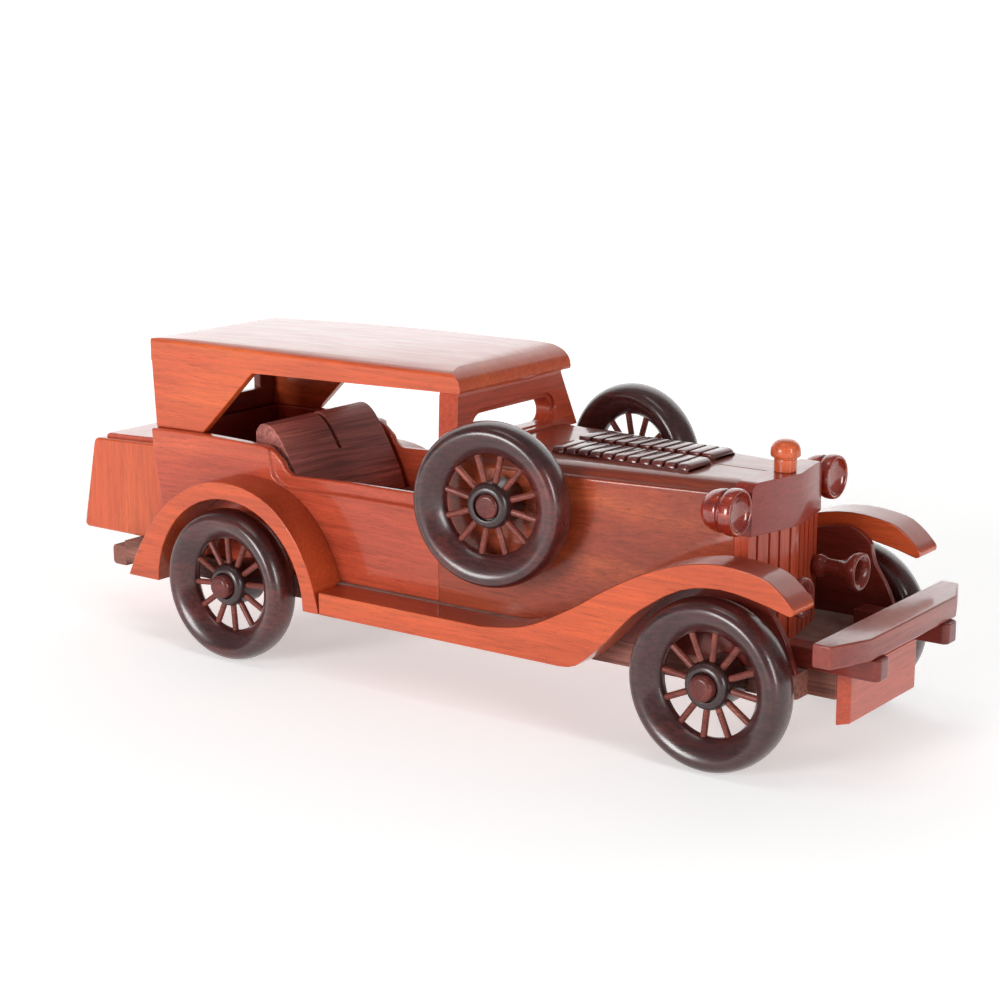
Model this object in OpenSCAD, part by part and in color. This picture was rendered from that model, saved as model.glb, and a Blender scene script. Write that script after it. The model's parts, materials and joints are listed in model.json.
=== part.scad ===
// Hand-made wooden model of an open-sided hard-top touring car. A chassis board carries the
// body, roof, fenders, lamps and bumper. Four road wheels turn on fixed pegs in the edges of
// the board, and two spare wheels turn on pegs in the sides of the cowl.
// Millimetres. x forward, y to the car's left, z up, floor at z = 0.

/* [Wheels] */
// Distance between front and rear axle pegs
wheelbase = 258.2; // [200:0.1:300]
// Outer radius of every wheel
wheel_r = 35.7; // [30:0.1:40]
// Radial thickness of the tyre ring
tyre_depth = 14.2; // [8:0.1:16]
// Width of the tyre ring across its widest part
tyre_w = 15.6; // [12:0.1:22]
// Distance of the road wheels' spoke plane from the middle of the car
track_half = 59.6; // [56:0.1:64]
// Diameter of one spoke dowel
spoke_d = 2.8; // [1.5:0.1:3]
// Number of spokes in one wheel
spoke_count = 12; // [8:1:16]
// Radius of the hub barrel
hub_r = 10.1; // [8:0.1:12]
// Radius of the shank of an axle peg
peg_r = 3.2; // [2.5:0.1:4]
// Radius of the head of an axle peg
peg_head_r = 5.5; // [4:0.1:6]
// Radial running clearance of hub on peg
run_fit = 0.05; // [0.02:0.01:0.1]

/* [Spare wheels] */
// Spare wheel centre ahead of the middle of the wheelbase
spare_x = 18.8; // [10:0.1:30]
// Spare wheel centre above the floor
spare_z = 93; // [88:0.1:98]
// Distance of the spare wheels' spoke plane from the middle of the car
spare_y = 55.8; // [54:0.1:58]
// Turn of each spare wheel towards the front, following the taper of the hood
spare_toe = 9; // [0:0.5:12]

/* [Chassis] */
// Thickness of the chassis board
board_t = 10.5; // [8:0.5:14]
// Height of the underside of the board above the floor
board_z = 31; // [28:0.5:34]
// Half width of the board
board_half = 46.5; // [44:0.1:47]
// Outer edge of fenders and running boards, from the middle
fender_half = 63.2; // [60:0.1:68]

/* [Body] */
// Half width of the tub and of the rear of the hood
body_half = 43.7; // [42:0.1:44]
// Distance of the right edge of the roof and right quarter panel from the middle
roof_half = 40; // [36:0.1:42]
// Distance of the left edge of the roof and left quarter panel from the middle
roof_left = 44; // [38:0.1:47]
// Half width of the radiator
rad_half = 29.4; // [26:0.1:32]
// Half width of the boot
boot_half = 36.5; // [32:0.1:38]
// Thickness of the tub sides
tub_t = 5.5; // [4:0.1:7]
// Depth of the moulding cut around the cockpit sill
sill_cut = 2; // [1:0.1:3]

/* [Hidden] */
$fn = 72;
// The middle of the wheelbase lies this far ahead of the middle of the overall length
mid_x = 31.2;
axle_x = wheelbase / 2;
axle_z = wheel_r;
deck_z = board_z + board_t;
right = -1;
left = 1;
// Spoke turn from vertical, degrees
phase_front = 24;
phase_rear = 5;
phase_spare = 18;
socket_fit = 0.02;
spoke_sink = 1.5;
fine_fn = 96;
cut = 0.5;

// ---- helpers ----

// one coordinate of a smooth curve through b and c, with neighbours a and d
function through(a, b, c, d, t) =
    0.5 * (2 * b + (c - a) * t + (2 * a - 5 * b + 4 * c - d) * t * t
        + (3 * b - 3 * c + d - a) * t * t * t);
// smooth open curve through all points, n steps between neighbours
function smooth(p, n = 3) = [
    for (i = [0 : len(p) - 2])
        for (k = [0 : i == len(p) - 2 ? n : n - 1])
            through(p[max(i - 1, 0)], p[i], p[i + 1], p[min(i + 2, len(p) - 1)], k / n)];
// arc of points about c
function arc(c, rx, ry, from, to, n = 6) = [
    for (k = [0 : n])
        let (a = from + (to - from) * k / n)
        [c[0] + rx * cos(a), c[1] + ry * sin(a)]];

// outline in x and z, standing between two distances from the middle on one side
module side_plate(outline, y_in, y_out, side) {
    translate([0, side > 0 ? y_out : -y_in, 0])
        rotate([90, 0, 0])
            linear_extrude(height = y_out - y_in)
                polygon(outline);
}

// outline in x and z, standing across the middle
module mid_plate(outline, half) {
    translate([0, half, 0])
        rotate([90, 0, 0])
            linear_extrude(height = 2 * half)
                polygon(outline);
}

// children drawn in y and z, running along x
module along_x(x0, x1) {
    translate([x0, 0, 0])
        rotate([90, 0, 90])
            linear_extrude(height = x1 - x0)
                children();
}

// outline in x and y, upright between two heights
module plan_plate(outline, z0, z1) {
    translate([0, 0, z0])
        linear_extrude(height = z1 - z0)
            polygon(outline);
}

// both sides of a plan outline given for y >= 0
function both(p) = concat(p, [for (i = [len(p) - 1 : -1 : 0]) [p[i][0], -p[i][1]]]);

// profile in radius and distance forward, turned about a line along x
module turned_x(profile, x, y, z) {
    translate([x, y, z])
        rotate([0, 90, 0])
            rotate_extrude($fn = fine_fn)
                polygon(profile);
}

// children drawn with z pointing outward, set at a wheel centre
module at_wheel(x, y, z, side, toe = 0) {
    translate([x, side * y, z])
        rotate([side > 0 ? -90 : 90, 0, -side * toe])
            children();
}

module at_mid() {
    translate([mid_x, 0, 0])
        children();
}

// ---- chassis ----

board_rear = -213;
board_step = 159.5;
board_front = 171.5;
nose_half = 35;
peg_deep = 22.5;

module chassis_board() {
    color("#7a4a33")
    difference() {
        plan_plate(both([[board_rear, board_half], [board_step - 3, board_half],
            [board_step, board_half - 3], [board_step, nose_half], [board_front, nose_half]]),
            board_z, deck_z);
        for (sx = [-1, 1])
            for (side = [right, left])
                at_wheel(sx * axle_x, track_half, axle_z, side)
                    translate([0, 0, -peg_deep - cut])
                        cylinder(r = peg_r + socket_fit, h = peg_deep);
    }
}

rear_bar_half = 46;
rear_bar_t = 9;
rear_bar_z = 28.5;
rear_bar_h = 10;
edge_r = 2;

module rear_bar() {
    color("#8a5540")
    mid_plate(concat(
        arc([board_rear - rear_bar_t + edge_r, rear_bar_z + edge_r], edge_r, edge_r, 270, 180, 3),
        arc([board_rear - rear_bar_t + edge_r, rear_bar_z + rear_bar_h - edge_r],
            edge_r, edge_r, 180, 90, 3),
        [[board_rear, rear_bar_z + rear_bar_h], [board_rear, rear_bar_z]]), rear_bar_half);
}

bracket_in = 25.8;
bracket_out = 36.2;
bracket_back = 147.5;
bracket_nose = 190.5;
bracket_top = 50.3;
nose_r = 2.8;

module bracket(side) {
    color("#a4503c")
    translate([0, side > 0 ? 0 : -bracket_in - bracket_out, 0])
        plan_plate(concat([[bracket_back, bracket_in]],
            arc([bracket_nose - nose_r, bracket_in + nose_r], nose_r, nose_r, -90, 0, 6),
            arc([bracket_nose - nose_r, bracket_out - nose_r], nose_r, nose_r, 0, 90, 6),
            [[bracket_back, bracket_out]]), deck_z, bracket_top);
}

bumper_back = 172.3;
bumper_end_x = 180.4;
bumper_front = 188.2;
bumper_half = 57.4;
bumper_flat = 38.4;
bumper_top = 59.8;

module bumper() {
    color("#a4503c")
    plan_plate(both([[bumper_back, bumper_half], [bumper_end_x, bumper_half],
        [bumper_front, bumper_flat]]), bracket_top, bumper_top);
}

plate_low = 20;
plate_front = 175.4;
plate_flat = 29;

module front_plate() {
    color("#96523f")
    plan_plate(both([[board_front, nose_half - 1], [plate_front, plate_flat]]),
        plate_low, deck_z);
}

// ---- fenders and inner panels ----

front_top = smooth([[18, 41.5], [33.9, 43.7], [44.2, 46.6], [54.3, 51.3], [69.2, 59.6],
    [79, 66], [98, 76.4], [116.5, 83.3], [134.6, 86.1], [152.4, 84.1], [159.9, 80.2],
    [165, 75.6], [167.1, 72.9],
    [166.9, 70.9]]);
front_under = smooth([[165.4, 70.2], [161.6, 71.2], [152.7, 73.5], [134.9, 76.1], [116.7, 73], [98.2, 61.9],
    [88.8, 53.2], [79.2, 43.1], [66.9, 32.8], [58, 31]]);
run_rear = -72.5;

module front_fender(side) {
    color("#b8553a")
    side_plate(concat([[run_rear, board_z], [run_rear, deck_z]], front_top, front_under),
        board_half, fender_half, side);
}

rear_top = smooth([[-193.3, 31], [-185, 47.1], [-170.6, 65.8], [-157, 76.3], [-143.8, 82.4],
    [-129, 84.6], [-112.4, 82.4], [-97.4, 75], [-85.7, 62.8], [-78, 48.3], [-73, 31]]);
rear_arch_c = [-127.8, 31];
rear_arch_r = 45.5;

module rear_fender(side) {
    outline = concat(rear_top, arc(rear_arch_c, rear_arch_r, rear_arch_r, 0, 180, 24));
    color("#b8553a") {
        difference() {
            side_plate(outline, body_half, fender_half, side);
            translate([-300, side > 0 ? 0 : -board_half, board_z - cut])
                cube([300, board_half, board_t + cut]);
        }
    }
}

panel_in = 43.5;

module inner_panel(side) {
    color("#8f4a38")
    side_plate(concat([[40, deck_z], [160.2, deck_z]],
        smooth([[157.8, 47.4], [154.9, 55], [150.7, 61.6], [147.5, 66.8], [145.9, 74.3]], 2),
        smooth([[143.4, 77], [135.7, 80.7], [121.5, 78.6], [98, 72.5], [79, 61.6],
            [62, 51.8], [48, 44.6]], 2)), panel_in, board_half, side);
}

// ---- body ----

tub_front = -19;
belt_z = 99.6;
sill_top = 82.3;
lip_top = 88.1;

back_top = -194.5;
back_foot = -187;

belt_peak_x = -157;
belt_rise = 0.6;
function belt_at(x) = belt_z + belt_rise * (x - back_top) / (belt_peak_x - back_top);

function tub_outline(sill, lift, back) = concat(
    [[back_foot, deck_z], [tub_front, deck_z], [tub_front, sill + 0.2], [-72.5, sill]],
    smooth([[-107.6 + back, sill - 1.2], [-111.9 + back, 82.8 + lift], [-116.1 + back, 85.6 + lift],
        [-117.2 + back, 90.2 + lift / 2], [-119, belt_z - 1.4]], 2),
    [[-122, belt_z - 0.4], [belt_peak_x, belt_z + belt_rise], [back_top, belt_z], [-193.6, 88],
        [-191.1, 73], [-189.4, 60.5]]);

module tub_side(side) {
    color("#b35a44") {
        side_plate(tub_outline(sill_top, 0, 0), body_half - sill_cut, body_half, side);
        side_plate(tub_outline(lip_top, 4.2, 5.5), body_half - tub_t, body_half - sill_cut, side);
    }
}

wall_front = -186;

module rear_wall() {
    color("#8a4a38")
    mid_plate([[wall_front, deck_z], [wall_front, belt_z], [back_top, belt_z],
        [-193.6, 88], [-191.1, 73], [-189.4, 60.5], [back_foot, deck_z]], body_half - tub_t);
}

floor_top = 68;
floor_back = wall_front;

module cabin_floor() {
    color("#5d3527")
    mid_plate([[floor_back, deck_z], [tub_front - 0, deck_z], [tub_front - 0, 50],
        [-60, 50], [-72, floor_top], [floor_back, floor_top]], body_half - tub_t);
}

seat_half = 35.5;
seat_slot_y = 0.5;
seat_slot_w = 2.4;

module seat_back() {
    color("#5b342b")
    difference() {
        mid_plate(concat([[-133, floor_top], [-101, floor_top]],
            smooth([[-104.5, 78], [-110.5, 89], [-117, 99.5], [-121.5, 105], [-126, 107.6],
                [-130.6, 107.2], [-133.6, 103.6]], 3)), seat_half);
        translate([-131, seat_slot_y - seat_slot_w / 2, 92])
            cube([30, seat_slot_w, 30]);
    }
}

boot_top_z = 88.2;

module boot() {
    color("#b85c44")
    mid_plate(concat(arc([-249.3, deck_z + 2.5], 2.5, 2.5, 270, 190, 3),
        arc([-239.4, boot_top_z - 3.4], 3.6, 3.6, 170, 84, 4),
        [[-193.9, boot_top_z + 1.8], [-193.6, 88], [-191.1, 73], [-189.4, 60.5],
            [back_foot, deck_z]]), boot_half);
}

lid_half = 33;
lid_rear = -236.5;

module boot_lid() {
    color("#a9614f")
    difference() {
        mid_plate([[lid_rear, boot_top_z - 3], [lid_rear, boot_top_z + 2],
            [lid_rear + 1.6, boot_top_z + 2.6], [back_top + 0.2, boot_top_z + 4],
            [back_top + 0.2, boot_top_z - 3]], lid_half);
        boot();
    }
}

// ---- roof ----

roof_rear = -196.3;
quarter_t = 4.5;
roof_under = 132;

module quarter(side, edge, ahead) {
    color("#bb5c42")
    side_plate([[back_top, belt_z], [-163.5 + ahead, belt_at(-163.5 + ahead)],
        [-130.7 + ahead, roof_under], [roof_rear, roof_under]], edge - quarter_t, edge, side);
}

window_half = 29;
window_low = 109;
window_high = 129;
panel_t = 5;

module rear_window_panel() {
    color("#a04c38")
    difference() {
        along_x(back_top, back_top + panel_t)
            translate([quarter_t - roof_half, belt_z])
                square([roof_left + roof_half - 2 * quarter_t, roof_under - belt_z]);
        along_x(back_top - cut, back_top + panel_t + cut)
            translate([-window_half, window_low])
                square([2 * window_half, window_high - window_low]);
    }
}

module roof() {
    color("#b8604a")
    intersection() {
        mid_plate(concat([[roof_rear, roof_under], [-130, roof_under], [-10, 134.8]],
            smooth([[-9.5, 135.8], [-10.2, 139.3], [-12.7, 142.3], [-17, 144.6], [-23, 146],
                [-42, 146.8]], 3),
            smooth([[-60, 146.7], [-101, 146], [-150, 144.7], [-190, 143.2]], 2),
            [[roof_rear, 142.6]]), 60);
        along_x(-200, 0)
            polygon([[-roof_half, 130], [-roof_half, 141.4], [-39.4, 142.8], [-37.6, 143.8],
                [-32, 144.7], [-20, 145.6], [0, 146.5], [20, 147], [36, 147], [41, 146.4],
                [43.2, 145.3], [roof_left, 143.4], [roof_left, 130]]);
    }
}
function both_z(p) = concat(p, [for (i = [len(p) - 1 : -1 : 0]) [-p[i][0], p[i][1]]]);

// ---- windscreen, hood, radiator ----

hood_rear = tub_front;
hood_front = 121;
// The sides run straight back from here and taper forward from here
hood_bend_x = 18.5;
hood_taper = atan2(body_half - rad_half, hood_front - hood_bend_x);
crown_top = 110.4;

// moulding of the top edge, as distance in from the side and height
moulding = [[0, 104.9], [0.4, 105.8], [1.2, 106.3], [2.1, 106.5], [2.8, 107], [3.6, 107.9],
    [4.8, 108.9], [6.6, 109.7], [8.8, 110.2], [11, crown_top]];

// right half section reaching across the middle, its side on the line y = -half
module hood_half(half, reach) {
    polygon(concat([[-half, deck_z]], [for (p = moulding) [p[0] - half, p[1]]],
        [[reach, crown_top], [reach, deck_z]]));
}

module hood_solid() {
    intersection() {
        along_x(hood_rear, hood_front)
            hood_half(body_half, 200);
        mirror([0, 1, 0])
            along_x(hood_rear, hood_front)
                hood_half(body_half, 200);
        tapered_half();
        mirror([0, 1, 0])
            tapered_half();
    }
}

module tapered_half() {
    translate([hood_bend_x, -body_half, 0])
        rotate([0, 0, hood_taper])
            along_x(-200, 200)
                hood_half(0, 200);
}

module hood() {
    color("#b15a48")
    difference() {
        hood_solid();
        for (side = [right, left])
            at_wheel(spare_x, spare_y, spare_z, side, spare_toe)
                translate([0, 0, -peg_deep - cut])
                    cylinder(r = peg_r + socket_fit, h = peg_deep + cut);
        translate([louvre_rear, -centre_groove / 2, crown_top - centre_groove / 2])
            cube([hood_front - louvre_rear + 1, centre_groove, 2]);
    }
}

centre_groove = 0.7;
louvre_in = 3.2;
louvre_out = 21.6;
louvre_rear = 26;
louvre_rear_left = 23;
louvre_pitch = 6.2;
louvre_count = 11;
louvre_h = 3;
slot_w = 1.5;
slot_deep = 2.2;

module louvres(side) {
    strip = louvre_pitch * louvre_count;
    wide = louvre_out - louvre_in;
    color("#a8655a")
    translate([side > 0 ? louvre_rear_left : louvre_rear,
        side > 0 ? louvre_in : -louvre_out, crown_top])
        difference() {
            cube([strip, wide, louvre_h]);
            for (i = [1 : louvre_count - 1])
                translate([i * louvre_pitch - slot_w / 2, -1, louvre_h - slot_deep])
                    cube([slot_w, wide + 2, slot_deep + 1]);
        }
}

screen_foot = 109;
screen_top = 134.6;
screen_t = 10.2;

module windscreen() {
    color("#9c4636")
    difference() {
        intersection() {
            mid_plate([[-21.5, screen_top + 6], [-11.3, screen_top + 6], [-11.3, screen_top - 2],
                [-7, screen_foot], [-17.2, screen_foot], [-21.5, screen_top - 2]], 60);
            along_x(-40, 10)
                polygon(both_z([[45.6, screen_foot], [45.2, screen_foot + 2], [38.7, screen_top],
                    [38.5, screen_top + 6]]));
        }
        hood_solid();
        roof();
        along_x(-40, 10)
            oval(29.3, 112.2, 124);
        along_x(-11, 10)
            oval(31.2, 111.6, 126.2);
    }
}

// long window opening with round ends, drawn in y and z
module oval(half, low, high) {
    r = (high - low) / 2;
    translate([0, low + r])
        square([2 * (half - r), 2 * r], center = true);
    for (s = [-1, 1])
        translate([s * (half - r), low + r])
            circle(r = r);
}

rad_side_x = 129;
rad_ridge_x = 135.1;
rad_top = 111.4;
rad_split = 89.5;
shell_r = 4.5;
grille_in = 1.3;
grille_slot = 1.3;
stem_r = 2.2;
stem_x = 124.5;
lamp_y = 40.9;
lamp_z = 101.9;
cap_x = 127.5;

module radiator_shell() {
    color("#b9654c")
    difference() {
        intersection() {
            plan_plate(both([[hood_front, rad_half], [rad_side_x, rad_half],
                [rad_ridge_x, 0]]), rad_split, rad_top);
            along_x(hood_front - 1, rad_ridge_x + 1)
                polygon(both_z(concat([[rad_half, rad_split - 1]],
                    arc([rad_half - shell_r, rad_top - shell_r], shell_r, shell_r, 0, 90, 8))));
        }
        for (side = [right, left])
            at_wheel(stem_x, rad_half - 4, lamp_z, side)
                cylinder(r = stem_r + socket_fit, h = 10);
        translate([cap_x, 0, rad_top - 4])
            cylinder(r = cap_neck_r + socket_fit, h = 10);
    }
}

horn_y = 24.7;
horn_z = 66.9;
horn_root = 125;

module radiator_grille() {
    color("#8e4435")
    difference() {
        plan_plate(both([[hood_front, rad_half - 0.4], [rad_side_x - grille_in, rad_half - 0.4],
            [rad_ridge_x - grille_in, 0]]), deck_z, rad_split);
        for (y = [4, 10.7, 16.7, 24])
            for (side = [right, left])
                translate([rad_side_x - grille_in + (rad_ridge_x - rad_side_x) * (1 - y / rad_half)
                    - grille_slot, side * y - grille_slot / 2, deck_z - 1])
                    cube([8, grille_slot, 60]);
        for (side = [right, left])
            translate([horn_root, side * horn_y, horn_z])
                rotate([0, 90, 0])
                    cylinder(r = horn_stub_r + socket_fit, h = 12);
    }
}

cap_neck_r = 4.2;
cap_head_r = 6.3;

module radiator_cap() {
    color("#c06a3f")
    translate([cap_x, 0, 0])
        rotate_extrude()
            polygon(concat([[0, rad_top - 4], [cap_neck_r, rad_top - 4], [cap_neck_r, 117],
                [cap_neck_r - 0.5, 118.2]],
                arc([cap_head_r - 2.2, 120.9], 2.2, 2.2, -90, 30, 5),
                arc([0, 121.4], 4.9, 3.5, 30, 90, 5)));
}

lamp_rim_r = 9.7;
lamp_rim_x = 130.7;

module lamp(side) {
    color("#c0603c") {
        difference() {
            union() {
                turned_x(concat(arc([0, 10.8], 8.9, 8, -90, -10, 8),
                    [[9, 11.4], [9, 12.6], [8.3, 13.1], [8.3, 13.9], [9.3, 14.5],
                        [lamp_rim_r, 16.5], [lamp_rim_r, 18.8], [lamp_rim_r - 0.9, 19.8]],
                    arc([0, 20.4], 7.6, 4, -9, -90, 6)), lamp_rim_x - 19.8, side * lamp_y, lamp_z);
                at_wheel(stem_x, rad_half - 4, lamp_z, side)
                    cylinder(r = stem_r, h = 8);
            }
        }
    }
}

horn_stub_r = 2.4;

module horn(side) {
    color("#a8452f")
    turned_x(concat([[0, 0], [horn_stub_r, 0], [horn_stub_r, 4.6]],
        arc([0, 7.2], 5, 4.4, -36, 36, 5),
        [[3.9, 11], [3.9, 16.5]],
        smooth([[4.6, 18.6], [6.4, 21], [8.2, 23.4]], 3),
        [[8.2, 26], [7.4, 26.6], [4.2, 25], [3.6, 16], [0, 16]]),
        horn_root, side * horn_y, horn_z);
}

// ---- wheels ----

ring_mid = wheel_r - tyre_depth / 2;
land_angle = 165;
hub_back = -12.6;
hub_back_spare = -11.3;
hub_face = 5.2;
hub_face_r = 7.4;
// Fullness of the tyre towards the tread, and the factor that keeps its width
tread_full = 0.42;
width_scale = 0.942;
recess_r = peg_head_r + 0.45;
recess_floor = 2.4;

module sockets(phase) {
    for (i = [0 : spoke_count - 1])
        rotate([0, 0, phase + i * 360 / spoke_count])
            translate([hub_r - spoke_sink, 0, 0])
                rotate([0, 90, 0])
                    cylinder(d = spoke_d + 2 * socket_fit, h = wheel_r - hub_r - tyre_depth
                        + 2 * spoke_sink + 0.3, $fn = 24);
}

module tyre(phase) {
    color("#4a3431")
    difference() {
        rotate_extrude($fn = fine_fn)
            polygon([for (a = [-land_angle : 15 : land_angle])
                [ring_mid + tyre_depth / 2 * cos(a),
                    tyre_w / 2 * width_scale * sin(a) * (1 + tread_full * cos(a))]]);
        sockets(phase);
    }
}

module spokes(phase) {
    color("#9a5746")
    for (i = [0 : spoke_count - 1])
        rotate([0, 0, phase + i * 360 / spoke_count])
            translate([hub_r - spoke_sink, 0, 0])
                rotate([0, 90, 0])
                    cylinder(d = spoke_d, h = wheel_r - hub_r - tyre_depth + 2 * spoke_sink,
                        $fn = 24);
}

module hub(phase, back = hub_back) {
    color("#54403c")
    difference() {
        rotate_extrude()
            polygon(concat([[peg_r + run_fit, back], [hub_r, back], [hub_r, 1.6]],
                arc([hub_face_r, 1.6], hub_r - hub_face_r, hub_face - 1.6, 15, 90, 5),
                [[recess_r, hub_face], [recess_r, recess_floor],
                    [peg_r + run_fit, recess_floor]]));
        sockets(phase);
    }
}

head_gap = 0.3;
head_disc_r = 3.6;
head_round = 2;

module peg(tip) {
    z0 = recess_floor + head_gap;
    rotate_extrude()
        polygon(concat([[0, -peg_deep], [peg_r, -peg_deep], [peg_r, z0], [peg_head_r, z0],
            [peg_head_r, tip - head_round]],
            arc([head_disc_r, tip - head_round], peg_head_r - head_disc_r, head_round, 15, 90, 5),
            [[0, tip]]));
}

tip_front = 8.9;
tip_rear = 9.4;
tip_spare = 5.6;

module axle_pegs() {
    color("#7b3f34")
    for (side = [right, left]) {
        at_wheel(axle_x, track_half, axle_z, side)
            peg(tip_front);
        at_wheel(-axle_x, track_half, axle_z, side)
            peg(tip_rear);
    }
}

module spare_pegs() {
    color("#7b3f34")
    for (side = [right, left])
        at_wheel(spare_x, spare_y, spare_z, side, spare_toe)
            peg(tip_spare);
}

module at_front(side) {
    at_mid()
        at_wheel(axle_x, track_half, axle_z, side)
            children();
}

module at_rear(side) {
    at_mid()
        at_wheel(-axle_x, track_half, axle_z, side)
            children();
}

module at_spare(side) {
    at_mid()
        at_wheel(spare_x, spare_y, spare_z, side, spare_toe)
            children();
}

at_mid() chassis_board();
at_mid() rear_bar();
at_mid() tub_side(right);  // tub_side_r
at_mid() tub_side(left);  // tub_side_l
at_mid() rear_wall();
at_mid() cabin_floor();
at_mid() seat_back();
at_mid() boot();
at_mid() boot_lid();
at_mid() rear_window_panel();
at_mid() quarter(right, roof_half, 0);  // quarter_r
at_mid() quarter(left, roof_left, 3);  // quarter_l
at_mid() roof();
at_mid() windscreen();
at_mid() hood();
at_mid() louvres(right);  // louvres_r
at_mid() louvres(left);  // louvres_l
at_mid() radiator_shell();
at_mid() radiator_grille();
at_mid() radiator_cap();
at_mid() lamp(right);  // lamp_r
at_mid() lamp(left);  // lamp_l
at_mid() horn(right);  // horn_r
at_mid() horn(left);  // horn_l
at_mid() front_fender(right);  // front_fender_r
at_mid() front_fender(left);  // front_fender_l
at_mid() rear_fender(right);  // rear_fender_r
at_mid() rear_fender(left);  // rear_fender_l
at_mid() inner_panel(right);  // inner_panel_r
at_mid() inner_panel(left);  // inner_panel_l
at_mid() bumper();
at_mid() bracket(right);  // bracket_r
at_mid() bracket(left);  // bracket_l
at_mid() front_plate();
at_mid() axle_pegs();
at_mid() spare_pegs();
at_front(right) tyre(phase_front);  // tyre_fr
at_front(right) spokes(phase_front);  // spokes_fr
at_front(right) hub(phase_front);  // hub_fr
at_front(left) tyre(phase_front);  // tyre_fl
at_front(left) spokes(phase_front);  // spokes_fl
at_front(left) hub(phase_front);  // hub_fl
at_rear(right) tyre(phase_rear);  // tyre_rr
at_rear(right) spokes(phase_rear);  // spokes_rr
at_rear(right) hub(phase_rear);  // hub_rr
at_rear(left) tyre(phase_rear);  // tyre_rl
at_rear(left) spokes(phase_rear);  // spokes_rl
at_rear(left) hub(phase_rear);  // hub_rl
at_spare(right) tyre(phase_spare);  // tyre_sr
at_spare(right) spokes(phase_spare);  // spokes_sr
at_spare(right) hub(phase_spare, hub_back_spare);  // hub_sr
at_spare(left) tyre(phase_spare);  // tyre_sl
at_spare(left) spokes(phase_spare);  // spokes_sl
at_spare(left) hub(phase_spare, hub_back_spare);  // hub_sl
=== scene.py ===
import bpy, bmesh, json, math, random
from mathutils import Vector, Matrix


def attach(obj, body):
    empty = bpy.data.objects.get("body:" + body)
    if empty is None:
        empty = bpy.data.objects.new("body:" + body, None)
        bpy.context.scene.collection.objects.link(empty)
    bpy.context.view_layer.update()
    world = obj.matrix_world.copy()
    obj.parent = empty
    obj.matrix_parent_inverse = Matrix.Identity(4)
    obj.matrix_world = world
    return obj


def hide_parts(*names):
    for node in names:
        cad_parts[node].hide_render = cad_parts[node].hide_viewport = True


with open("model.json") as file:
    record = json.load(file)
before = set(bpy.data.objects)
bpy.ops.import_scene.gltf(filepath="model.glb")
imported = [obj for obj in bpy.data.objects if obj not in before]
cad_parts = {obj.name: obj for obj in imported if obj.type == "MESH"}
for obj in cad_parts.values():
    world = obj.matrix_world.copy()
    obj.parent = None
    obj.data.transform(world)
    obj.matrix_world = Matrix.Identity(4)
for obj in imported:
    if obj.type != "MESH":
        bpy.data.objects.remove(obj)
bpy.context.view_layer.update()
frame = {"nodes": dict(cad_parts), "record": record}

MM = 0.001
BODY = {"fr": "front_wheel_r", "fl": "front_wheel_l", "rr": "rear_wheel_r",
        "rl": "rear_wheel_l", "sr": "spare_wheel_r", "sl": "spare_wheel_l"}
HUBS = {j["child"]: j["pos_m"] for j in frame["record"]["behaviour"]["joints"]}
# middle of the wheelbase, mm ahead of the row origin; most lengths below are mm from it
MID = (HUBS["front_wheel_r"][0] + HUBS["rear_wheel_r"][0]) / 2 / MM
WHEELS = {w: (HUBS[b][0] / MM - MID, HUBS[b][1] / MM, HUBS[b][2] / MM) for w, b in BODY.items()}
# turn of the first spoke, and outward toe, in degrees: front, rear and spare wheels
PHASE = {"f": 24, "r": 5, "s": 18}
TOE = {"f": 0.0, "r": 0.0, "s": 9.0}


# ---------------------------------------------------------------- camera
CAMERA_AT = (541.2, -758.4, 297.6)         # mm from the middle of the wheelbase, at the floor
CAMERA_TURN = (36.39, 13.03, -0.14)         # azimuth, elevation and roll in degrees
SENSOR = 36.0
LENS = 76.9428


def camera():
    cam = bpy.data.cameras.new("camera")
    ob = bpy.data.objects.new("camera", cam)
    bpy.context.scene.collection.objects.link(ob)
    az, el, roll = (math.radians(a) for a in CAMERA_TURN)
    back = Vector((math.sin(az) * math.cos(el), -math.cos(az) * math.cos(el), math.sin(el)))
    side = Vector((math.cos(az), math.sin(az), 0))
    up = back.cross(side)
    r = side * math.cos(roll) + up * math.sin(roll)
    u = up * math.cos(roll) - side * math.sin(roll)
    m = Matrix.Identity(4)
    for i in range(3):
        m[i][0], m[i][1], m[i][2] = r[i], u[i], back[i]
    m[0][3], m[1][3], m[2][3] = (CAMERA_AT[0] + MID) * MM, CAMERA_AT[1] * MM, CAMERA_AT[2] * MM
    ob.matrix_world = m
    cam.sensor_width = SENSOR
    cam.lens = LENS
    cam.clip_start = 0.01
    cam.clip_end = 50
    bpy.context.scene.camera = ob


camera()


# ---------------------------------------------------------------- materials
def srgb(r, g, b):
    def f(c):
        c /= 255.0
        return c / 12.92 if c <= 0.04045 else ((c + 0.055) / 1.055) ** 2.4
    return (f(r), f(g), f(b), 1.0)


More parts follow.
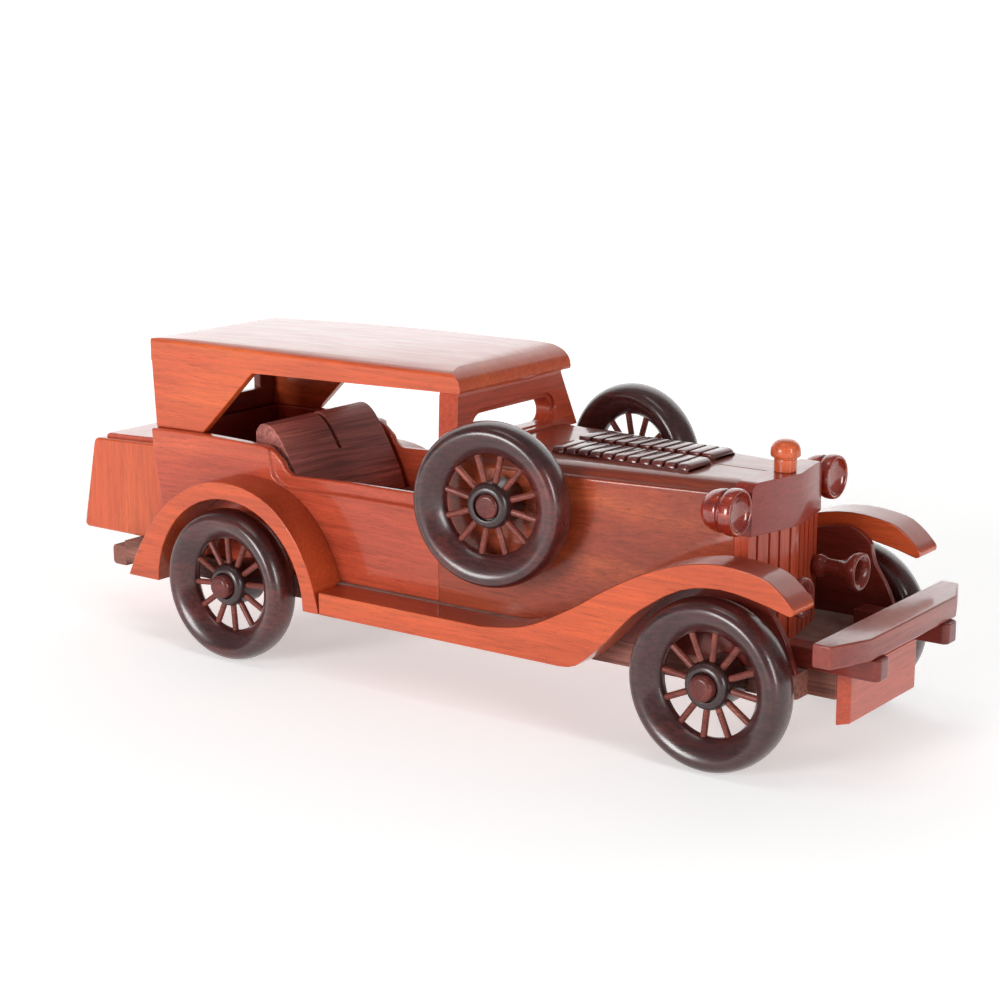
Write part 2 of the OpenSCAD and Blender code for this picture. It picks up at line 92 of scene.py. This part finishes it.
class Tree:
    """Small helper that adds nodes and joins them."""
    def __init__(self, mat):
        self.nt = mat.node_tree
        self.bsdf = self.nt.nodes["Principled BSDF"]

    def add(self, kind, **props):
        n = self.nt.nodes.new(kind)
        for k, v in props.items():
            setattr(n, k, v)
        return n

    def link(self, a, b):
        self.nt.links.new(a, b)

    def mapping(self, src, loc=(0, 0, 0), rot=(0, 0, 0), scale=(1, 1, 1)):
        n = self.add("ShaderNodeMapping")
        self.link(src, n.inputs["Vector"])
        n.inputs["Location"].default_value = loc
        n.inputs["Rotation"].default_value = rot
        n.inputs["Scale"].default_value = scale
        return n.outputs["Vector"]

    def noise(self, vec, scale, detail=3.0, rough=0.5, dist=0.0):
        n = self.add("ShaderNodeTexNoise")
        self.link(vec, n.inputs["Vector"])
        n.inputs["Scale"].default_value = scale
        n.inputs["Detail"].default_value = detail
        n.inputs["Roughness"].default_value = rough
        n.inputs["Distortion"].default_value = dist
        return n.outputs["Fac"]

    def ramp(self, fac, stops):
        n = self.add("ShaderNodeValToRGB")
        self.link(fac, n.inputs["Fac"])
        e = n.color_ramp.elements
        while len(e) > 1:
            e.remove(e[-1])
        e[0].position, e[0].color = stops[0][0], stops[0][1]
        for pos, col in stops[1:]:
            x = e.new(pos)
            x.color = col
        return n.outputs["Color"]

    def grey(self, fac, lo, hi, a=0.0, b=1.0):
        n = self.add("ShaderNodeMapRange")
        self.link(fac, n.inputs["Value"])
        n.inputs["From Min"].default_value = lo
        n.inputs["From Max"].default_value = hi
        n.inputs["To Min"].default_value = a
        n.inputs["To Max"].default_value = b
        return n.outputs["Result"]

    def mix(self, a, b, fac, mode="MIX"):
        n = self.add("ShaderNodeMix", data_type="RGBA", blend_type=mode)
        for value, sock in ((fac, n.inputs[0]), (a, n.inputs[6]), (b, n.inputs[7])):
            if hasattr(value, "is_linked"):
                self.link(value, sock)
            else:
                sock.default_value = value
        return n.outputs[2]

    def math(self, op, a, b):
        n = self.add("ShaderNodeMath", operation=op)
        for value, sock in ((a, n.inputs[0]), (b, n.inputs[1])):
            if hasattr(value, "is_linked"):
                self.link(value, sock)
            else:
                sock.default_value = value
        return n.outputs[0]


GRAIN = {"x": (0, 0, 0), "y": (0, 0, -math.pi / 2), "z": (0, math.pi / 2, 0)}


def wood(name, light, mid, dark, axis="x", seed=0.0, rough=0.33, coat=0.9, coat_rough=0.10,
         figure=38.0, streak=0.18, pores=0.30, blotch=0.12, edge=None, dust=0.0, bump=0.2,
         flecks=0.35, spec=0.22, coat_ior=1.38, painted_hollow_shade=0.6, top=0.0):
    """Stained and varnished hardwood, cut from solid stock along one axis."""
    mat = bpy.data.materials.new(name)
    mat.use_nodes = True
    t = Tree(mat)
    coord = t.add("ShaderNodeTexCoord").outputs["Object"]
    base = t.mapping(coord, loc=(seed * 0.37, seed * 0.53, seed * 0.71),
                     rot=GRAIN[axis])
    # slow wander of the grain lines
    wander = t.noise(t.mapping(base, scale=(7, 16, 16)), 1.0, 2.0, 0.5)
    shift = t.add("ShaderNodeCombineXYZ")
    off = t.grey(wander, 0.0, 1.0, -0.006, 0.006)
    t.link(off, shift.inputs["Y"])
    t.link(t.math("MULTIPLY", off, 0.7), shift.inputs["Z"])
    add = t.add("ShaderNodeVectorMath", operation="ADD")
    t.link(base, add.inputs[0])
    t.link(shift.outputs[0], add.inputs[1])
    v = add.outputs[0]
    fig = t.noise(t.mapping(v, scale=(0.12, 1, 1)), figure, 3.0, 0.5, 0.4)
    lines = t.noise(t.mapping(v, scale=(0.03, 1, 1)), figure * 14, 3.0, 0.6, 0.1)
    fleck = t.noise(t.mapping(v, scale=(0.07, 1, 1)), 520.0, 2.0, 0.5)
    pore = t.noise(t.mapping(v, scale=(0.06, 1, 1)), 1900.0, 1.0, 0.4)
    patch = t.noise(t.mapping(base, scale=(0.55, 1, 1)), 11.0, 2.0, 0.5)
    fine = t.noise(base, 900.0, 2.0, 0.6)
    half = tuple((a + b) / 2 for a, b in zip(mid, dark))
    col = t.ramp(fig, [(0.26, half), (0.46, mid), (0.56, mid), (0.76, light)])
    line_f = t.math("MULTIPLY", t.grey(lines, 0.34, 0.66, 1.0 - streak, 1.0 + streak * 0.4),
                    t.grey(fine, 0.3, 0.7, 0.94, 1.06))
    mul = t.add("ShaderNodeVectorMath", operation="SCALE")
    t.link(col, mul.inputs[0])
    t.link(line_f, mul.inputs["Scale"])
    col = mul.outputs[0]
    where = t.grey(patch, 0.40, 0.62, 0.15, 1.0)
    ff = t.math("MULTIPLY", t.grey(fleck, 0.60, 0.74, 0.0, flecks), where)
    col = t.mix(col, (dark[0] * 0.6, dark[1] * 0.6, dark[2] * 0.6, 1), ff)
    pf = t.grey(pore, 0.58, 0.70, 0.0, pores)
    col = t.mix(col, (dark[0] * 0.45, dark[1] * 0.4, dark[2] * 0.4, 1), pf)
    bf = t.grey(patch, 0.45, 0.75, 0.0, blotch)
    col = t.mix(col, dark, bf)
    geo = t.add("ShaderNodeNewGeometry").outputs["Pointiness"]
    # painted shade: low pointiness, in creases and recesses, darkens the colour
    if painted_hollow_shade > 0:
        shade = t.grey(geo, 0.485, 0.44, 0.0, painted_hollow_shade)
        col = t.mix(col, (dark[0] * 0.5, dark[1] * 0.5, dark[2] * 0.5, 1), shade)
    # convex edges are lightened towards the edge colour: wear, and partly a painted highlight
    if edge is not None:
        pt = t.grey(geo, 0.515, 0.56, 0.0, 0.5)
        worn_and_highlight = t.math("MULTIPLY", pt, t.grey(t.noise(base, 90.0, 3.0, 0.6), 0.38, 0.66))
        col = t.mix(col, edge, worn_and_highlight)
    sep = t.add("ShaderNodeSeparateXYZ")
    t.link(t.add("ShaderNodeTexCoord").outputs["Normal"], sep.inputs[0])
    # painted shade: faces turned upwards are darkened towards a dull copy of the dark colour
    if top > 0:
        painted_top_shade = t.grey(sep.outputs["Z"], 0.25, 0.7, 0.0, top)
        col = t.mix(col, (dark[0] * 0.7, dark[1] * 0.6, dark[2] * 0.75, 1), painted_top_shade)
    # greyed upward faces: a dusting, and partly a painted sheen of reflected light
    if dust > 0:
        dust_and_sheen_mask = t.grey(sep.outputs["Z"], 0.55, 0.98, 0.0, dust)
        dust_and_sheen_mask = t.math("MULTIPLY", dust_and_sheen_mask, t.grey(t.noise(base, 260.0, 4.0, 0.65), 0.30, 0.68, 0.35, 1.0))
        col = t.mix(col, srgb(168, 142, 134), dust_and_sheen_mask)
    t.link(col, t.bsdf.inputs["Base Color"])
    rf = t.grey(t.noise(t.mapping(v, scale=(0.2, 1, 1)), 140.0, 3.0, 0.6), 0.3, 0.7,
                rough - 0.05, rough + 0.08)
    t.link(rf, t.bsdf.inputs["Roughness"])
    t.bsdf.inputs["Specular IOR Level"].default_value = spec
    t.bsdf.inputs["Coat IOR"].default_value = coat_ior
    t.bsdf.inputs["Coat Weight"].default_value = coat
    t.bsdf.inputs["Coat Roughness"].default_value = coat_rough
    height = t.math("ADD", t.math("MULTIPLY", lines, 0.6), t.math("MULTIPLY", pore, -0.35))
    bmp = t.add("ShaderNodeBump")
    bmp.inputs["Strength"].default_value = bump
    bmp.inputs["Distance"].default_value = 0.0002
    t.link(height, bmp.inputs["Height"])
    t.link(bmp.outputs["Normal"], t.bsdf.inputs["Normal"])
    return mat


ORANGE = (srgb(222, 104, 52), srgb(203, 85, 44), srgb(150, 54, 30))
RED = (srgb(214, 98, 62), srgb(190, 77, 50), srgb(134, 46, 32))
HOOD = (srgb(192, 90, 50), srgb(164, 67, 38), srgb(106, 38, 24))
DEEP = (srgb(150, 60, 44), srgb(124, 46, 36), srgb(80, 28, 23))
BUMPER = (srgb(170, 80, 66), srgb(142, 62, 52), srgb(98, 38, 34))
LOUVRE = (srgb(132, 56, 44), srgb(108, 44, 36), srgb(66, 26, 23))
SEAT = (srgb(200, 122, 110), srgb(170, 100, 92), srgb(120, 68, 64))
DUSTY = (srgb(168, 112, 94), srgb(142, 90, 78), srgb(102, 62, 54))
BLACK = (srgb(74, 42, 40), srgb(54, 30, 30), srgb(32, 18, 19))
TYRE = (srgb(110, 44, 38), srgb(70, 31, 31), srgb(36, 18, 20))
GOLD = (srgb(176, 66, 44), srgb(148, 48, 34), srgb(98, 29, 23))
# pale edge colour: wear, and partly a painted highlight
WORN_AND_HIGHLIGHT = srgb(214, 130, 92)


def new_object(name, bm, mat, smooth_angle=40):
    me = bpy.data.meshes.new(name)
    bm.to_mesh(me)
    bm.free()
    ob = bpy.data.objects.new(name, me)
    bpy.context.scene.collection.objects.link(ob)
    me.materials.append(mat)
    for p in me.polygons:
        p.use_smooth = True
    me.set_sharp_from_angle(angle=math.radians(smooth_angle))
    return ob


def place(ob, body, node):
    """Puts a mesh in the place of a CAD node, on its body."""
    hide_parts(node)
    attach(ob, body)
    return ob


def refine(node, mat, width=0.8, segs=3, angle=32, pick=None, smooth_angle=40):
    """A finer copy of a flat-sided CAD piece: clean faces and softly rounded edges."""
    src = frame["nodes"][node].data
    bm = bmesh.new()
    bm.from_mesh(src)
    bmesh.ops.remove_doubles(bm, verts=bm.verts, dist=2e-6)
    bmesh.ops.dissolve_limit(bm, angle_limit=math.radians(0.6), verts=bm.verts, edges=bm.edges)
    for v in [v for v in bm.verts if not v.link_faces]:
        bm.verts.remove(v)
    edges = []
    for e in bm.edges:
        if len(e.link_faces) == 2 and e.calc_face_angle(0) > math.radians(angle):
            if pick is None or pick(e):
                edges.append(e)
    if edges and width > 0:
        bmesh.ops.bevel(bm, geom=edges, offset=width * MM, offset_type="OFFSET", segments=segs,
                        profile=0.5, affect="EDGES", clamp_overlap=True)
    bmesh.ops.recalc_face_normals(bm, faces=bm.faces)
    ob = new_object(node + "_wood", bm, mat, smooth_angle)
    mod = ob.modifiers.new("weighted", "WEIGHTED_NORMAL")
    mod.keep_sharp = True
    mod.weight = 80
    dg = bpy.context.evaluated_depsgraph_get()
    me = bpy.data.meshes.new_from_object(ob.evaluated_get(dg))
    ob.modifiers.clear()
    ob.data = me
    return place(ob, "car", node)


def lathe_into(bm, profile, matrix, segs):
    """Turns (radius, height) points in mm about local z."""
    rings = []
    for r, h in profile:
        if r < 1e-6:
            rings.append([bm.verts.new(matrix @ Vector((0, 0, h * MM)))])
        else:
            rings.append([bm.verts.new(matrix @ Vector((r * MM * math.cos(2 * math.pi * k / segs),
                                                        r * MM * math.sin(2 * math.pi * k / segs),
                                                        h * MM))) for k in range(segs)])
    n = len(rings)
    closed = profile[0] == profile[-1]
    if closed:
        for v in rings[-1]:
            bm.verts.remove(v)
        rings[-1] = rings[0]
    for i in range(n - 1):
        a, b = rings[i], rings[i + 1]
        for k in range(segs):
            k2 = (k + 1) % segs
            if len(a) == 1 and len(b) == 1:
                continue
            if len(a) == 1:
                bm.faces.new((a[0], b[k], b[k2]))
            elif len(b) == 1:
                bm.faces.new((a[k], b[0], a[k2]))
            else:
                bm.faces.new((a[k], b[k], b[k2], a[k2]))


def smooth_profile(points, steps=4):
    """Smooth curve through profile points; a point given twice stays a corner."""
    out = []
    n = len(points)
    for i in range(n - 1):
        p1, p2 = points[i], points[i + 1]
        if p1 == p2:
            continue
        p0 = points[i - 1] if i > 0 else p1
        p3 = points[i + 2] if i + 2 < n else p2
        for k in range(steps):
            t = k / steps
            out.append(tuple(0.5 * (2 * b + (c - a) * t + (2 * a - 5 * b + 4 * c - d) * t * t
                                    + (3 * b - 3 * c + d - a) * t ** 3)
                             for a, b, c, d in zip(p0, p1, p2, p3)))
    out.append(points[-1])
    return [(max(0.0, r), h) for r, h in out]


def outward(x, y, z, toe=0.0):
    """Matrix that puts local z pointing away from the car at a wheel centre."""
    side = -1 if y < 0 else 1
    turn = Matrix.Rotation(math.radians(-side * toe), 4, "Z") @ \
        Matrix.Rotation(math.radians(-side * 90), 4, "X")
    return Matrix.Translation(Vector(((x + MID) * MM, y * MM, z * MM))) @ turn


def forward(x, y, z):
    return Matrix.Translation(Vector(((x + MID) * MM, y * MM, z * MM))) @ \
        Matrix.Rotation(math.radians(90), 4, "Y")


def turned(name, profile, matrix, mat, segs=96, angle=38):
    bm = bmesh.new()
    lathe_into(bm, profile, matrix, segs)
    bmesh.ops.recalc_face_normals(bm, faces=bm.faces)
    return new_object(name, bm, mat, angle)


# ---------------------------------------------------------------- wheels
# the edge colours of tyres and hubs: wear, and partly a painted highlight
tyre_mats = {w: wood("tyre_" + w, *TYRE, axis="x", seed=3 + i * 1.7, rough=0.30, coat=0.55,
                     coat_rough=0.16, figure=48, streak=0.5, pores=0.45, blotch=0.3, bump=0.3,
                     spec=0.5, coat_ior=1.5, edge=srgb(132, 70, 58))
             for i, w in enumerate(WHEELS)}
hub_mats = {w: wood("hub_" + w, *BLACK, axis="y", seed=9 + i * 1.3, rough=0.32, coat=0.5,
                    coat_rough=0.2, streak=0.4, bump=0.3, spec=0.5, coat_ior=1.5,
                    edge=srgb(136, 84, 72))
            for i, w in enumerate(WHEELS)}
spoke_mat = wood("spokes", srgb(166, 92, 76), srgb(134, 68, 58), srgb(84, 40, 36), axis="x",
                 seed=21, rough=0.36, coat=0.3, figure=160, streak=0.45, bump=0.3)
peg_mat = wood("pegs", srgb(134, 66, 58), srgb(104, 48, 44), srgb(64, 28, 28), axis="y", seed=25,
               rough=0.34, coat=0.4, figure=110, streak=0.4, pores=0.6)


def tyre_profile():
    pts = []
    n = 64
    for k in range(n + 1):
        a = math.radians(-165 + 330.0 * k / n)
        pts.append((28.6 + 7.1 * math.cos(a), 7.35 * math.sin(a) * (1 + 0.42 * math.cos(a))))
    pts.append(pts[0])
    return pts


def hub_profile(back):
    """Barrel with a rolled front edge and a recess round the peg head."""
    p = smooth_profile([(3.25, back), (3.25, back), (9.4, back), (9.4, back), (10.1, back + 0.7),
                        (10.1, back + 0.7), (10.1, 1.2), (10.1, 1.2), (10.0, 2.2), (9.5, 3.5),
                        (8.7, 4.5), (7.5, 5.1), (6.5, 5.15), (6.1, 4.95), (5.95, 4.5),
                        (5.95, 4.5), (5.95, 2.45), (5.95, 2.45), (3.25, 2.45), (3.25, 2.45),
                        (3.25, back)], 3)
    p[-1] = p[0]
    return p


def peg_profile(tip):
    return smooth_profile([(0, -22), (0, -22), (3.2, -22), (3.2, -22), (3.2, 2.75), (3.2, 2.75),
                           (5.1, 2.75), (5.5, 3.15), (5.5, 3.15), (5.5, tip - 2.1),
                           (5.4, tip - 1.5), (5.0, tip - 0.8), (4.4, tip - 0.32),
                           (3.9, tip - 0.14), (3.6, tip - 0.1), (3.6, tip - 0.1),
                           (2.0, tip - 0.04), (0, tip)], 3)


def dowel(bm, centre, direction, r0, r1, radius, segs=20):
    z = direction.normalized()
    x = z.orthogonal().normalized()
    y = z.cross(x)
    rings = []
    for h in (r0, (r0 + r1) / 2, r1):
        rings.append([bm.verts.new(centre + z * h * MM + (x * math.cos(2 * math.pi * k / segs)
                      + y * math.sin(2 * math.pi * k / segs)) * radius * MM) for k in range(segs)])
    for a, b in zip(rings, rings[1:]):
        for k in range(segs):
            bm.faces.new((a[k], a[(k + 1) % segs], b[(k + 1) % segs], b[k]))
    bm.faces.new(rings[0][::-1])
    bm.faces.new(rings[-1])


rnd = random.Random(7)
for w, (x, y, z) in WHEELS.items():
    m = outward(x, y, z, TOE[w[0]])
    ty = turned("tyre_ring_" + w, tyre_profile(), m, tyre_mats[w], 128, 60)
    place(ty, BODY[w], "tyre_" + w)
    hb = turned("hub_barrel_" + w, hub_profile(-11.3 if w[0] == "s" else -12.6), m, hub_mats[w],
                72, 40)
    place(hb, BODY[w], "hub_" + w)
    bm = bmesh.new()
    centre = m @ Vector((0, 0, 0))
    for k in range(12):
        a = math.radians(PHASE[w[0]] + 30 * k + rnd.uniform(-0.7, 0.7))
        lean = rnd.uniform(-0.012, 0.012)
        d = (m.to_3x3() @ Vector((math.cos(a), math.sin(a), lean)))
        dowel(bm, centre, d, 8.7, 22.9, 1.4)
    bmesh.ops.recalc_face_normals(bm, faces=bm.faces)
    place(new_object("spoke_dowels_" + w, bm, spoke_mat, 50), BODY[w], "spokes_" + w)


def pegs(name, node, which):
    bm = bmesh.new()
    for w in which:
        tip = {"s": 5.6, "r": 9.4, "f": 8.9}[w[0]]
        lathe_into(bm, peg_profile(tip), outward(*WHEELS[w], TOE[w[0]]), 64)
    bmesh.ops.recalc_face_normals(bm, faces=bm.faces)
    place(new_object(name, bm, peg_mat, 38), "car", node)


pegs("axle_peg_heads", "axle_pegs", ["fr", "fl", "rr", "rl"])
pegs("spare_peg_heads", "spare_pegs", ["sr", "sl"])


# ---------------------------------------------------------------- body pieces
def body_wood(name, cols, **k):
    """Wood for the flat-sided pieces; their big faces are too coarse for the painted shade in creases."""
    return wood(name, *cols, painted_hollow_shade=0.0, **k)


# the pale grey on upward faces below is a dusting and partly a painted sheen
refine("chassis_board", body_wood("board", DUSTY, seed=1, rough=0.5, coat=0.05, dust=0.95, streak=0.5), 0.7)
refine("rear_bar", body_wood("rear_bar", DUSTY, axis="y", seed=2, rough=0.45, coat=0.1, dust=0.4), 0.4)
refine("tub_side_r", body_wood("tub_r", RED, seed=3), 1.0)
refine("tub_side_l", body_wood("tub_l", RED, seed=4), 1.0)
refine("rear_wall", body_wood("rear_wall", DEEP, axis="y", seed=5), 0.5)
refine("cabin_floor", body_wood("cabin_floor", DUSTY, seed=6, rough=0.5, coat=0.0, dust=0.3), 0.5)
refine("seat_back", body_wood("seat", SEAT, axis="y", seed=7, rough=0.42, coat=0.1, streak=0.5), 0.9)
refine("boot", body_wood("boot", ORANGE, axis="z", seed=8, figure=30), 1.2)
refine("boot_lid", body_wood("boot_lid", RED, axis="y", seed=9), 0.6,
       pick=lambda e: min(v.co.z for v in e.verts) > 0.0887)
refine("rear_window_panel", body_wood("window_panel", DEEP, axis="y", seed=10), 1.0)
# top= here and below paints shade on upward faces
upper = body_wood("upper_works", ORANGE, seed=11, figure=36, top=0.35)
under = max(v.co.z for v in frame["nodes"]["quarter_r"].data.vertices)
for q in ("quarter_r", "quarter_l"):
    refine(q, upper, 0.7, pick=lambda e: min(v.co.z for v in e.verts) < under - 0.0002)
refine("roof", upper, 1.2, segs=4, angle=24,
       pick=lambda e: max(v.co.z for v in e.verts) > under + 0.0005)
refine("windscreen", body_wood("windscreen", RED, axis="y", seed=14), 1.2)
hood_wood = body_wood("hood", HOOD, seed=15, figure=60, flecks=0.6, blotch=0.06, streak=0.24, top=0.45)
refine("hood", hood_wood, 0.7, angle=24, smooth_angle=60)


def louvre_strip(node, side, rear, mat):
    """Row of rounded blocks on a thin base board."""
    bm = bmesh.new()
    z0, top, y0, y1 = 110.4, 113.4, 3.2, 21.6

    def section(shrink, drop, foot):
        pts = [(y0 + shrink, foot), (y0 + shrink, top - 0.6 - drop)]
        pts += [(y0 + 0.6 + shrink - 0.6 * math.cos(a), top - 0.6 - drop + 0.6 * math.sin(a))
                for a in (math.pi / 6, math.pi / 3, math.pi / 2)]
        r = 2.3
        pts += [(y1 - shrink - r + r * math.sin(a), top - drop - r + r * math.cos(a))
                for a in (0, math.pi / 10, math.pi / 5, 0.3 * math.pi, 0.4 * math.pi, math.pi / 2)]
        pts += [(y1 - shrink, foot)]
        return pts

    def prism(stations):
        rings = []
        for x, shrink, drop, foot in stations:
            rings.append([bm.verts.new(((x + MID) * MM, side * y * MM, z * MM))
                          for y, z in section(shrink, drop, foot)])
        for a, b in zip(rings, rings[1:]):
            for k in range(len(a)):
                bm.faces.new((a[k], a[(k + 1) % len(a)], b[(k + 1) % len(b)], b[k]))
        bm.faces.new(rings[0])
        bm.faces.new(rings[-1][::-1])

    pitch, slot, count = 6.2, 1.5, 11
    for i in range(count):
        xa = rear + i * pitch + (slot / 2 if i else 0)
        xb = rear + (i + 1) * pitch - (slot / 2 if i < count - 1 else 0)
        foot = z0 + 0.5
        st = [(xa, 0.28, 0.3, foot), (xa + 0.12, 0.1, 0.1, foot), (xa + 0.35, 0, 0, foot)]
        if i < count - 1:
            st += [(xb - 0.35, 0, 0, foot), (xb - 0.12, 0.1, 0.1, foot), (xb, 0.28, 0.3, foot)]
        else:
            for k in range(7):
                a = math.pi / 2 * k / 6
                st.append((xb - 2.3 + 2.3 * math.sin(a), 0.4 * (1 - math.cos(a)),
                           1.9 * (1 - math.cos(a)), foot))
        prism(st)
    long = pitch * count
    lo = [bm.verts.new(((rear + dx + MID) * MM, side * y * MM, z * MM))
          for z in (z0, z0 + 0.8) for dx, y in ((0, y0), (long, y0), (long, y1), (0, y1))]
    for f in ((0, 1, 2, 3), (7, 6, 5, 4), (0, 4, 5, 1), (1, 5, 6, 2), (2, 6, 7, 3), (3, 7, 4, 0)):
        bm.faces.new([lo[i] for i in f])
    bmesh.ops.recalc_face_normals(bm, faces=bm.faces)
    place(new_object(node + "_blocks", bm, mat, 35), "car", node)


louvre_strip("louvres_r", -1, 26.0, body_wood("louvres_r", LOUVRE, axis="y", seed=16, spec=0.4, coat_ior=1.5))
louvre_strip("louvres_l", 1, 23.0, body_wood("louvres_l", LOUVRE, axis="y", seed=17, spec=0.4, coat_ior=1.5))
refine("radiator_shell", body_wood("rad_shell", GOLD, axis="y", seed=18), 1.0)
refine("radiator_grille", body_wood("rad_grille", RED, axis="z", seed=19), 0.45)
# top= gives the fender tops painted shade
refine("front_fender_r", body_wood("fender_fr", ORANGE, seed=20, figure=34, top=0.75), 1.5, segs=4)
refine("front_fender_l", body_wood("fender_fl", ORANGE, seed=22, figure=34, top=0.75), 1.5, segs=4)
refine("rear_fender_r", body_wood("fender_rr", ORANGE, seed=23, figure=38, top=0.5), 1.2, segs=4)
refine("rear_fender_l", body_wood("fender_rl", ORANGE, seed=24, figure=38, top=0.5), 1.2, segs=4)
refine("inner_panel_r", body_wood("inner_r", DEEP, seed=26), 0.5)
refine("inner_panel_l", body_wood("inner_l", DEEP, seed=27), 0.5)
refine("bumper", body_wood("bumper", BUMPER, axis="y", seed=28, dust=0.35), 0.9)
refine("bracket_r", body_wood("bracket_r", DEEP, seed=29), 0.8)
refine("bracket_l", body_wood("bracket_l", DEEP, seed=30), 0.8)
refine("front_plate", body_wood("front_plate", RED, axis="y", seed=31), 0.5)

# ---------------------------------------------------------------- turned trim
lamp_mats = [wood("lamp" + s, srgb(212, 92, 44), srgb(158, 46, 28), srgb(78, 20, 18), axis="x",
                  seed=32 + i, rough=0.24, coat=1.0, coat_rough=0.09, figure=170, streak=0.5,
                  spec=0.5, coat_ior=1.5)
             for i, s in enumerate("rl")]
LAMP = [(0, 2.8), (2.9, 3.1), (5.6, 4.3), (7.5, 6.4), (8.5, 9.0), (8.85, 11.0), (8.9, 12.1),
        (8.75, 12.7), (8.75, 12.7), (8.3, 13.0), (8.1, 13.5), (8.3, 14.0), (8.3, 14.0),
        (9.1, 14.4), (9.55, 15.4), (9.7, 16.8), (9.65, 18.4), (9.2, 19.5), (8.6, 19.7),
        (8.0, 19.3), (7.7, 18.7), (7.7, 18.7), (6.6, 17.7), (4.6, 16.9), (2.4, 16.5), (0, 16.4)]
for i, (s, side) in enumerate((("r", -1), ("l", 1))):
    bm = bmesh.new()
    lathe_into(bm, smooth_profile(LAMP, 3), forward(110.9, side * 40.9, 101.9), 96)
    a = outward(124.5, side * 25.4, 101.9)
    lathe_into(bm, [(0, 0), (2.2, 0), (2.2, 8), (0, 8)], a, 32)
    bmesh.ops.recalc_face_normals(bm, faces=bm.faces)
    place(new_object("headlamp_" + s, bm, lamp_mats[i], 38), "car", "lamp_" + s)

HORN = [(0, 0), (0, 0), (2.4, 0), (2.4, 0), (2.4, 3.6), (3.1, 4.2), (4.4, 5.4), (5.0, 7.2),
        (4.5, 9.2), (3.8, 10.8), (3.7, 13.4), (3.9, 16.2), (4.6, 18.6), (6.2, 20.9), (7.6, 22.7),
        (8.2, 24.4), (8.2, 25.9), (7.8, 26.5), (7.1, 26.6), (6.2, 26.3), (4.9, 25.2), (4.2, 24.0),
        (3.8, 21.5), (3.6, 16.2), (3.6, 16.2), (0, 16.0)]
horn_mat = wood("horns", *DEEP, axis="x", seed=36, rough=0.26, coat=0.7, coat_rough=0.1,
                figure=110, edge=WORN_AND_HIGHLIGHT)
for s, side in (("r", -1), ("l", 1)):
    ob = turned("horn_turned_" + s, smooth_profile(HORN, 3), forward(125, side * 24.7, 66.9), horn_mat)
    place(ob, "car", "horn_" + s)

CAP = [(0, 107.4), (0, 107.4), (4.2, 107.4), (4.2, 107.4), (4.2, 111.6), (4.65, 111.7), (4.7, 112.4),
       (4.7, 116.2), (4.5, 116.5), (4.5, 116.5), (4.75, 116.9), (4.8, 117.6), (4.8, 117.6),
       (5.7, 117.65), (6.15, 118.1), (6.25, 119.4), (6.1, 121.0), (5.4, 122.7), (4.0, 124.0),
       (2.2, 124.7), (0, 124.9)]
cap_mat = wood("cap", srgb(236, 128, 78), srgb(214, 100, 58), srgb(160, 60, 36), axis="z", seed=37,
               rough=0.26, coat=0.7, coat_rough=0.1, figure=120, edge=WORN_AND_HIGHLIGHT)
place(turned("cap_turned", smooth_profile(CAP, 3),
             Matrix.Translation(Vector(((127.5 + MID) * MM, 0, 0))), cap_mat), "car", "radiator_cap")


# ---------------------------------------------------------------- stage and light
def stage():
    """White paper floor that sweeps up behind the car and glows with painted light."""
    path = [(d, 0.0) for d in (-12.0, -6.0, -2.4, -1.2, -0.5, 0.0, 0.5, 1.2, 2.0)]
    for k in range(1, 13):
        a = math.pi / 2 * k / 12
        path.append((2.0 + 0.8 * math.sin(a), 0.8 - 0.8 * math.cos(a)))
    path += [(2.8, 1.6), (2.8, 2.6), (2.8, 3.6)]
    turn = Matrix.Rotation(math.radians(CAMERA_TURN[0]), 4, "Z")
    bm = bmesh.new()
    rows = []
    for d, z in path:
        half = 12.0 if d < -2.0 else 4.0        # wider floor on the side away from the sweep
        rows.append([bm.verts.new(turn @ Vector((half * (i / 8 - 1), d, z))) for i in range(17)])
    for a, b in zip(rows, rows[1:]):
        for i in range(16):
            bm.faces.new((a[i], a[i + 1], b[i + 1], b[i]))
    mat = bpy.data.materials.new("glowing_floor_paper")
    mat.use_nodes = True
    t = Tree(mat)
    c = t.add("ShaderNodeTexCoord").outputs["Object"]
    t.link(t.mix((0.90, 0.895, 0.89, 1), (0.93, 0.925, 0.92, 1), t.noise(c, 3.0)),
           t.bsdf.inputs["Base Color"])
    t.bsdf.inputs["Roughness"].default_value = 0.9
    t.bsdf.inputs["Specular IOR Level"].default_value = 0.1
    # painted light: the paper glows, weakly near the car and more strongly further out
    far = t.add("ShaderNodeVectorMath", operation="LENGTH")
    t.link(c, far.inputs[0])
    glow = t.grey(far.outputs["Value"], 0.35, 1.5, 0.42, 0.80)
    t.link(glow, t.bsdf.inputs["Emission Strength"])
    t.bsdf.inputs["Emission Color"].default_value = (1, 1, 1, 1)
    new_object("floor", bm, mat)


stage()


def area(name, loc, target, size, size_y, power):
    li = bpy.data.lights.new(name, "AREA")
    li.shape = "RECTANGLE"
    li.size, li.size_y = size, size_y
    li.energy = power
    ob = bpy.data.objects.new(name, li)
    bpy.context.scene.collection.objects.link(ob)
    ob.location = loc
    ob.rotation_euler = (Vector(target) - Vector(loc)).to_track_quat("-Z", "Y").to_euler()
    return ob


world = bpy.data.worlds.new("studio")
bpy.context.scene.world = world
world.use_nodes = True
world.node_tree.nodes["Background"].inputs["Color"].default_value = (1, 1, 1, 1)
world.node_tree.nodes["Background"].inputs["Strength"].default_value = 0.22
area("key", (-0.45, -2.3, 0.55), (0.02, 0, 0.07), 0.9, 0.8, 35)
area("right", (1.9, -0.55, 0.6), (0.1, 0, 0.07), 0.4, 0.9, 13)
area("top", (0.0, -0.35, 1.6), (0, 0, 0.05), 0.8, 0.3, 2)
bpy.context.scene.view_settings.view_transform = "Standard"
bpy.context.scene.view_settings.look = "None"

bpy.context.view_layer.update()
